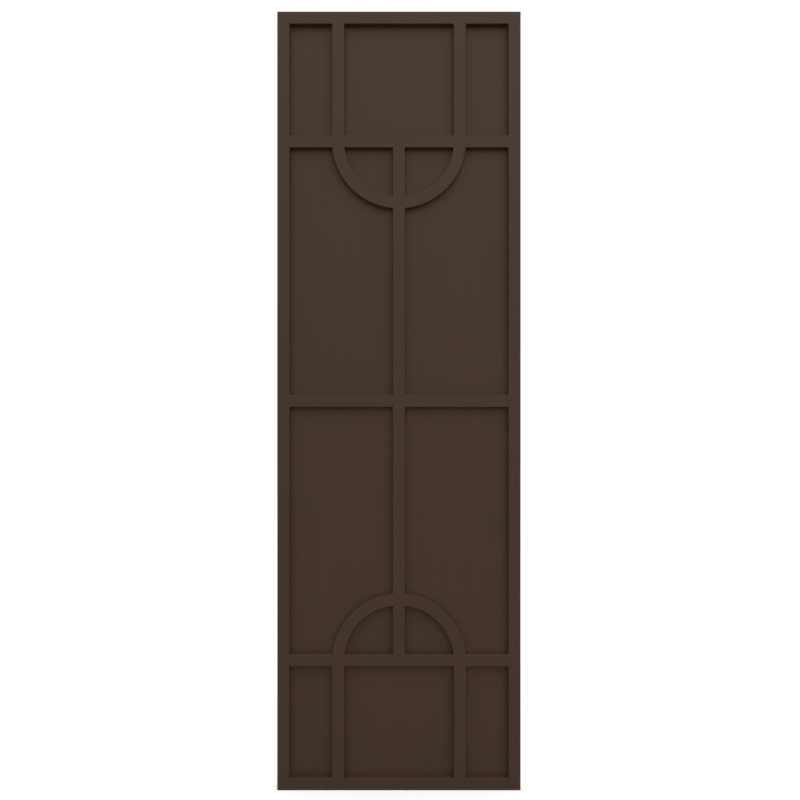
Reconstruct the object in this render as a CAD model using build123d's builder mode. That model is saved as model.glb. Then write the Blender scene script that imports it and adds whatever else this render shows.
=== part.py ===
"""Fixed exterior shutter: a flat backing board with a fret of square strips on its face.

The shutter stands upright: X runs across it, Z runs up it, and its face looks along -Y.
The origin is the middle of the flat back, which lies against the wall.

Two stiles, two end rails and three cross rails frame the face. Side mullions divide each
end panel in three. Each pair of side mullions is carried on past its cross rail as a half
ring, made of two quarter arches that meet a mullion on the centre line.
All strips are ripped from one board, butt together and end flush. Their front edges are
eased with a fine bevel after they are joined, so no joint shows as a groove.
"""

import os

from build123d import *

# Driving dimensions, in millimetres.
shutter_width = 381.0
shutter_height = 1219.2
board_thickness = 9.525
strip_thickness = 9.525
strip_width = 19.05
# From each end of the shutter to the centre line of the cross rail next to it.
end_panel_height = 203.2
# From the middle of the shutter to the centre line of a side mullion, and of an arch.
mullion_offset = 95.25
# Bevel that eases the front edges of the strips.
strip_bevel = 0.6
# Bevel round the board's front and back. It leaves a fine line between board and strips.
board_bevel = 0.4

# Places worked out from the sizes above.
half_strip = strip_width / 2
stile_x = shutter_width / 2 - half_strip
end_rail_z = shutter_height / 2 - half_strip
cross_rail_z = shutter_height / 2 - end_panel_height
rail_length = shutter_width - 2 * strip_width
side_mullion_length = end_rail_z - cross_rail_z - strip_width
side_mullion_z = (end_rail_z + cross_rail_z) / 2
centre_mullion_length = cross_rail_z - strip_width
centre_mullion_z = cross_rail_z / 2
arch_outer_radius = mullion_offset + half_strip
arch_inner_radius = mullion_offset - half_strip

# The strips lie on the board's face, and every footprint is drawn on this plane.
board_face = Plane.XZ.offset(board_thickness)

# Name of each straight strip: its middle (x, z) and its size (across, up).
straight_strips = {
    "left_stile": ((-stile_x, 0), (strip_width, shutter_height)),
    "right_stile": ((stile_x, 0), (strip_width, shutter_height)),
    "top_rail": ((0, end_rail_z), (rail_length, strip_width)),
    "bottom_rail": ((0, -end_rail_z), (rail_length, strip_width)),
    "upper_cross_rail": ((0, cross_rail_z), (rail_length, strip_width)),
    "middle_cross_rail": ((0, 0), (rail_length, strip_width)),
    "lower_cross_rail": ((0, -cross_rail_z), (rail_length, strip_width)),
    "upper_centre_mullion": ((0, centre_mullion_z), (strip_width, centre_mullion_length)),
    "lower_centre_mullion": ((0, -centre_mullion_z), (strip_width, centre_mullion_length)),
}
for end, z in (("top", side_mullion_z), ("bottom", -side_mullion_z)):
    for side, x in (("left", -mullion_offset), ("right", mullion_offset)):
        straight_strips[f"{end}_{side}_mullion"] = ((x, z), (strip_width, side_mullion_length))

# Name of each quarter arch: the side of the centre line it lies on and the end it belongs to.
quarter_arches = {
    "upper_left_arch": (-1, 1),
    "upper_right_arch": (1, 1),
    "lower_left_arch": (-1, -1),
    "lower_right_arch": (1, -1),
}


def straight_outline(middle, size):
    """Footprint of a straight strip."""
    with BuildSketch() as outline:
        with Locations(middle):
            Rectangle(*size)
    return outline.sketch


def arch_outline(side, end):
    """Footprint of a quarter arch, cut square against its cross rail and centre mullion.

    Side is -1 on the left and 1 on the right. End is 1 at the top and -1 at the bottom.
    The arch turns about a point on its cross rail's centre line, and lies on the side of
    the rail that faces the middle of the shutter.
    """
    with BuildSketch() as outline:
        with Locations((0, end * cross_rail_z)):
            Circle(arch_outer_radius)
            Circle(arch_inner_radius, mode=Mode.SUBTRACT)
        with Locations((side * half_strip, end * (cross_rail_z - half_strip))):
            Rectangle(
                arch_outer_radius,
                arch_outer_radius,
                align=(
                    Align.MIN if side > 0 else Align.MAX,
                    Align.MAX if end > 0 else Align.MIN,
                ),
                mode=Mode.INTERSECT,
            )
    return outline.sketch


outlines = {name: straight_outline(*strip) for name, strip in straight_strips.items()}
outlines |= {name: arch_outline(*place) for name, place in quarter_arches.items()}

# The whole fret, joined and eased, from which each strip takes its finished shape.
with BuildPart() as fret:
    with BuildSketch(board_face):
        for outline in outlines.values():
            add(outline)
    extrude(amount=strip_thickness)
    chamfer(fret.faces().sort_by(Axis.Y)[0].edges(), strip_bevel)


def make_strip(name):
    """One strip: the stretch of the fret that stands on its own footprint."""
    with BuildPart() as strip:
        add(fret.part)
        with BuildSketch(board_face):
            add(outlines[name])
        extrude(amount=strip_thickness, mode=Mode.INTERSECT)
    strip.part.label = name
    return strip.part


with BuildPart() as backing_board:
    with BuildSketch(Plane.XZ):
        Rectangle(shutter_width, shutter_height)
    extrude(amount=board_thickness)
    chamfer(backing_board.faces().filter_by(Axis.Y).edges(), board_bevel)
backing_board.part.label = "backing_board"

os.makedirs("parts", exist_ok=True)
pieces = [backing_board.part] + [make_strip(name) for name in outlines]
for piece in pieces:
    export_step(piece, f"parts/{piece.label}.step")
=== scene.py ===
"""Looks and studio for a fixed exterior shutter in satin dark brown paint.

The shutter is a board faced with a fret of strips, all of cellular PVC. The paint is one
sprayed coat over the whole assembly. Lengths are in metres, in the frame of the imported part:
X across, Z up, the face towards -Y and the back on Y = 0.
"""

import math

import bpy
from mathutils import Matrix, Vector


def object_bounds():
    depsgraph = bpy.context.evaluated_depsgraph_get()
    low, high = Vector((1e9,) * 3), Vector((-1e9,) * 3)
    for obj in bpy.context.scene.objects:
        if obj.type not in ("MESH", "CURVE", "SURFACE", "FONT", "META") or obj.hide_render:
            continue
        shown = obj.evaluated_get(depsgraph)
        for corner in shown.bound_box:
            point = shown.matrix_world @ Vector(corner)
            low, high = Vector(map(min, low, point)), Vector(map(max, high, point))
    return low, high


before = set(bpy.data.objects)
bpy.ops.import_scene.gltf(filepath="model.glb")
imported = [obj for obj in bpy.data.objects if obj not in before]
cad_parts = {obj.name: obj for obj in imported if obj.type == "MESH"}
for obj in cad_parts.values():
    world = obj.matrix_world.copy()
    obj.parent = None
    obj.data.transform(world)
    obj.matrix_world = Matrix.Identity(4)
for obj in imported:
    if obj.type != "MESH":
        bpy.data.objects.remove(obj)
cad_low, cad_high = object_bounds()

MM = 0.001
WHITE = (1.0, 1.0, 1.0, 1.0)

# Paint, as linear colour. It varies between two tones and lies thinner on the eased edges.
PAINT_DEEP = (0.0378, 0.0220, 0.0150, 1.0)
PAINT_LIGHT = (0.0672, 0.0390, 0.0266, 1.0)
PAINT_THIN = (0.0640, 0.0385, 0.0270, 1.0)
PAINT_SPECULAR = 0.13
LEAST_ROUGHNESS = 0.42
MOST_ROUGHNESS = 0.58
# Added to the roughness of the sawn sides and ends, and to that of the rubbed, eased edges.
SAWN_ROUGHNESS = 0.06
RUBBED_ROUGHNESS = -0.06
# The most that the thin paint shows on the eased edges, and the height of the breaks at which
# it shows that much.
EDGE_WEAR = 0.7
FULL_BREAK = 0.25

# Painted shade: where the strips shade the coat from the light above and in front, and where it
# faces away from that light, its colour is made warmer and deeper by this tint. The direction
# below points to where that light comes from on the whole. A place has no painted shade where
# OPEN_SHARE of the sky round that direction is clear within the reach, and full painted shade
# where only SHUT_SHARE is. The share is found from a few samples.
PAINTED_SHADE_TINT = (1.08, 0.88, 0.65, 1.0)
SHADE_LIGHT_DIRECTION = Vector((0.0, -1.0, 1.0)).normalized()
OPEN_SHARE = 0.8
SHUT_SHARE = 0.3
PAINTED_SHADE_REACH = 30.0 * MM
PAINTED_SHADE_SAMPLES = 8

# Patterns, as cycles per metre and finer octaves: the drift of the coat, the bands and fine
# lines of the extruded sheet under it, its orange peel, and the breaks in the worn edges.
DRIFT = (7.0, 3.0)
BANDS = (70.0, 2.0)
LINES = (900.0, 2.0)
PEEL = (420.0, 2.0)
BREAKS = (45.0, 4.0)
# The middle of a noise, and so of the unevenness that is made from noises.
MIDDLE = 0.5
# What share each pattern has in the unevenness of tone and gloss.
DRIFT_SHARE = 0.25
BAND_SHARE = 0.15
LINE_SHARE = 0.30
PEEL_SHARE = 0.30
# How much stronger the drift and the bands are on the plain back.
BACK_STRENGTH = 2.0
# Height of the relief that the orange peel and the lines give.
PEEL_HEIGHT = 0.16 * MM
LINE_HEIGHT = 0.05 * MM
# How bands and lines are drawn out along X, Y and Z. An arch has the cutter's marks instead,
# which run round its sides.
EVEN = (1.0, 1.0, 1.0)
UPRIGHT = (1.0, 1.0, 0.012)
LEVEL = (0.012, 1.0, 1.0)
ROUND_SIDES = (0.03, 1.0, 0.03)

# How squarely an edge eased at 45 degrees faces front or back, and how far from that a face
# still counts as one.
EASED_FACING = math.sqrt(0.5)
FACING_SPREAD = 0.2

# Studio. The lamp's power is in watts.
SKY_LEVEL = 0.87
KEY_POWER = 83.5
KEY_SIZE = 4.7
KEY_PLACE = Vector((0.8, -2.1, 2.4))
KEY_TARGET = Vector((0.0, 0.0, 0.2))
# The floor is seen in its own colour, lifted towards white by a glow. It throws back only the
# light of the darker bounce colour, so that the undersides stay dark.
FLOOR_SIZE = 12.0
FLOOR_COLOUR = (0.90, 0.90, 0.90, 1.0)
FLOOR_BOUNCE_COLOUR = (0.16, 0.16, 0.16, 1.0)
FLOOR_LIFT = 0.24

# Camera: a 35 mm lens on a 36 mm sensor, level, a little over 1.2 m from the face. Its small
# shifts across and up put the shutter where it stands in the photo.
LENS = 35.0
SENSOR = 36.0
FACE_TO_CAMERA = 1.2172
CAMERA_X = 1.7 * MM
CAMERA_Z = 1.5 * MM


class Nodes:
    """A node tree with short calls for adding and joining nodes."""

    def __init__(self, owner):
        owner.use_nodes = True
        self.tree = owner.node_tree
        self.tree.nodes.clear()

    def add(self, kind, inputs=None, **settings):
        """Add a node. A value in inputs is a number, a colour or another node's output."""
        node = self.tree.nodes.new(kind)
        for key, value in settings.items():
            setattr(node, key, value)
        for key, value in (inputs or {}).items():
            socket = self.find(node.inputs, key)
            if isinstance(value, bpy.types.NodeSocket):
                self.tree.links.new(value, socket)
            else:
                socket.default_value = value
        return node

    @staticmethod
    def find(sockets, key):
        """The socket with this number, or the one in use with this name."""
        if isinstance(key, int):
            return sockets[key]
        return next(socket for socket in sockets if socket.enabled and socket.name == key)

    def value(self, kind, inputs=None, **settings):
        """Add a node and give its first output in use."""
        node = self.add(kind, inputs, **settings)
        return next(socket for socket in node.outputs if socket.enabled)

    def math(self, operation, *values):
        """Output of a Math node."""
        return self.value("ShaderNodeMath", dict(enumerate(values)), operation=operation)

    def mix(self, factor, first, second, blend="MIX"):
        """Output of a Mix node for colours."""
        inputs = {"Factor": factor, "A": first, "B": second}
        return self.value("ShaderNodeMix", inputs, data_type="RGBA", blend_type=blend)


def seen_directly(nodes):
    """1 for camera, glossy and transmission rays, 0 for the rays that carry light."""
    path = nodes.add("ShaderNodeLightPath")
    mirrored = nodes.math("MAXIMUM", path.outputs["Is Glossy Ray"], path.outputs["Is Transmission Ray"])
    return nodes.math("MAXIMUM", path.outputs["Is Camera Ray"], mirrored)


def noise(nodes, place, pattern, stretch=EVEN):
    """Smooth noise about 0, drawn out along each axis whose stretch is under 1."""
    scale, octaves = pattern
    spread = tuple(scale * share for share in stretch)
    stretched = nodes.value("ShaderNodeMapping", {"Vector": place, "Scale": spread})
    inputs = {"Vector": stretched, "Scale": 1.0, "Detail": octaves}
    return nodes.math("SUBTRACT", nodes.value("ShaderNodeTexNoise", inputs), MIDDLE)


def side_masks(nodes):
    """Masks of 0 or 1 for the eased edges, for the sawn sides and ends, and for the back."""
    normal = nodes.add("ShaderNodeNewGeometry").outputs["True Normal"]
    along_y = nodes.add("ShaderNodeSeparateXYZ", {"Vector": normal}).outputs["Y"]
    facing = nodes.math("ABSOLUTE", along_y)
    eased = nodes.math("COMPARE", facing, EASED_FACING, FACING_SPREAD)
    sawn = nodes.math("LESS_THAN", facing, EASED_FACING - FACING_SPREAD)
    back = nodes.math("GREATER_THAN", along_y, EASED_FACING + FACING_SPREAD)
    return eased, sawn, back


def painted_shade_mask(nodes, back):
    """Painted shade mask: 0 in the light from above and in front, 1 where shaded. The back gets none.
    """
    shade_light = nodes.value("ShaderNodeCombineXYZ", dict(enumerate(SHADE_LIGHT_DIRECTION)))
    sky_inputs = {"Distance": PAINTED_SHADE_REACH, "Normal": shade_light}
    # How clear the sky is round the light's direction decides where shade is painted.
    sky = nodes.add("ShaderNodeAmbientOcclusion", sky_inputs, samples=PAINTED_SHADE_SAMPLES)
    painted_shade_inputs = {"Value": sky.outputs["AO"], "From Min": OPEN_SHARE, "From Max": SHUT_SHARE}
    painted_shade = nodes.value("ShaderNodeMapRange", painted_shade_inputs)
    return nodes.math("MAXIMUM", nodes.math("SUBTRACT", painted_shade, back), 0.0)


def unevenness(nodes, drift, bands, lines, peel, back):
    """How the coat varies about its middle, with its broad part stronger on the back."""
    broad = nodes.math("MULTIPLY", drift, DRIFT_SHARE)
    broad = nodes.math("MULTIPLY_ADD", bands, BAND_SHARE, broad)
    strength = nodes.math("MULTIPLY_ADD", back, BACK_STRENGTH - 1.0, 1.0)
    uneven = nodes.math("MULTIPLY_ADD", broad, strength, MIDDLE)
    uneven = nodes.math("MULTIPLY_ADD", lines, LINE_SHARE, uneven)
    return nodes.math("MULTIPLY_ADD", peel, PEEL_SHARE, uneven)


def coat_colour(nodes, uneven, breaks, eased, back):
    """Colour of the coat, tinted warmer and deeper as painted shade, and thinner on the eased edges."""
    coat = nodes.mix(uneven, PAINT_DEEP, PAINT_LIGHT)
    # Painted shade: a warmer, deeper tint where the strips shade the coat or it faces from the light.
    coat = nodes.mix(painted_shade_mask(nodes, back), coat, PAINTED_SHADE_TINT, "MULTIPLY")
    wear_inputs = {"Value": breaks, "From Max": FULL_BREAK, "To Max": EDGE_WEAR}
    thinness = nodes.value("ShaderNodeMapRange", wear_inputs)
    wear = nodes.math("MULTIPLY", eased, thinness)
    return nodes.mix(wear, coat, PAINT_THIN)


def coat_roughness(nodes, uneven, eased, sawn):
    """Roughness of the coat, more on the sawn sides and ends and less on the eased edges."""
    gloss_inputs = {"Value": uneven, "To Min": LEAST_ROUGHNESS, "To Max": MOST_ROUGHNESS}
    roughness = nodes.value("ShaderNodeMapRange", gloss_inputs)
    roughness = nodes.math("MULTIPLY_ADD", sawn, SAWN_ROUGHNESS, roughness)
    return nodes.math("MULTIPLY_ADD", eased, RUBBED_ROUGHNESS, roughness)


def coat_relief(nodes, lines, peel):
    """Surface direction, from the lines in the sheet with the orange peel over them."""
    sheet = nodes.value("ShaderNodeBump", {"Height": lines, "Distance": LINE_HEIGHT})
    return nodes.value("ShaderNodeBump", {"Height": peel, "Distance": PEEL_HEIGHT, "Normal": sheet})


def make_paint(name, stretch):
    """Satin paint, sprayed over cellular PVC whose bands and lines are drawn out by stretch."""
    material = bpy.data.materials.new(name)
    nodes = Nodes(material)
    place = nodes.add("ShaderNodeTexCoord").outputs["Object"]
    drift = noise(nodes, place, DRIFT)
    bands = noise(nodes, place, BANDS, stretch)
    lines = noise(nodes, place, LINES, stretch)
    peel = noise(nodes, place, PEEL)
    breaks = noise(nodes, place, BREAKS)
    eased, sawn, back = side_masks(nodes)
    uneven = unevenness(nodes, drift, bands, lines, peel, back)
    shader_inputs = {
        "Base Color": coat_colour(nodes, uneven, breaks, eased, back),
        "Roughness": coat_roughness(nodes, uneven, eased, sawn),
        "Specular IOR Level": PAINT_SPECULAR,
        "Normal": coat_relief(nodes, lines, peel),
    }
    shader = nodes.value("ShaderNodeBsdfPrincipled", shader_inputs)
    nodes.add("ShaderNodeOutputMaterial", {"Surface": shader})
    return material


def paint_pieces():
    """Paint every piece by its kind, which is the last word of its name.

    The lines run along each strip, and upright in the board.
    """
    upright = make_paint("satin_upright", UPRIGHT)
    level = make_paint("satin_level", LEVEL)
    arched = make_paint("satin_arched", ROUND_SIDES)
    paints = {"board": upright, "stile": upright, "mullion": upright, "rail": level, "arch": arched}
    for name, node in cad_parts.items():
        node.data.materials.clear()
        node.data.materials.append(paints[name.split("_")[-1]])


def make_floor():
    """Plain pale floor under the shutter's lower end."""
    bpy.ops.mesh.primitive_plane_add(size=FLOOR_SIZE, location=(0.0, 0.0, cad_low.z))
    floor = bpy.context.object
    floor.name = "floor"
    material = bpy.data.materials.new("pale_floor")
    nodes = Nodes(material)
    shown = nodes.add("ShaderNodeBsdfDiffuse", {"Color": FLOOR_COLOUR})
    lift = nodes.add("ShaderNodeEmission", {"Strength": FLOOR_LIFT})
    bright = nodes.add("ShaderNodeAddShader", {0: shown.outputs[0], 1: lift.outputs[0]})
    bounce = nodes.add("ShaderNodeBsdfDiffuse", {"Color": FLOOR_BOUNCE_COLOUR})
    mixed = nodes.add(
        "ShaderNodeMixShader", {0: seen_directly(nodes), 1: bounce.outputs[0], 2: bright.outputs[0]}
    )
    nodes.add("ShaderNodeOutputMaterial", {"Surface": mixed.outputs[0]})
    floor.data.materials.append(material)


def make_world():
    """Even soft light from all round, and white to the camera and to reflections."""
    world = bpy.data.worlds.new("studio")
    bpy.context.scene.world = world
    nodes = Nodes(world)
    level = nodes.value("ShaderNodeMix", {"Factor": seen_directly(nodes), "A": SKY_LEVEL, "B": 1.0})
    background = nodes.value("ShaderNodeBackground", {"Color": WHITE, "Strength": level})
    nodes.add("ShaderNodeOutputWorld", {"Surface": background})


def make_key():
    """One broad soft lamp above and in front, a little to the right."""
    light = bpy.data.lights.new("key", "AREA")
    light.energy = KEY_POWER
    light.size = KEY_SIZE
    lamp = bpy.data.objects.new("key", light)
    lamp.location = KEY_PLACE
    lamp.rotation_euler = (KEY_TARGET - KEY_PLACE).to_track_quat("-Z", "Y").to_euler()
    bpy.context.scene.collection.objects.link(lamp)


def make_camera():
    """Camera square to the face, at the shutter's mid-height."""
    data = bpy.data.cameras.new("camera")
    data.lens = LENS
    data.sensor_width = SENSOR
    camera = bpy.data.objects.new("camera", data)
    camera.location = (CAMERA_X, cad_low.y - FACE_TO_CAMERA, CAMERA_Z)
    camera.rotation_euler = (math.radians(90.0), 0.0, 0.0)
    bpy.context.scene.collection.objects.link(camera)
    bpy.context.scene.camera = camera


paint_pieces()
make_floor()
make_world()
make_key()
make_camera()
bpy.context.scene.view_settings.view_transform = "Standard"
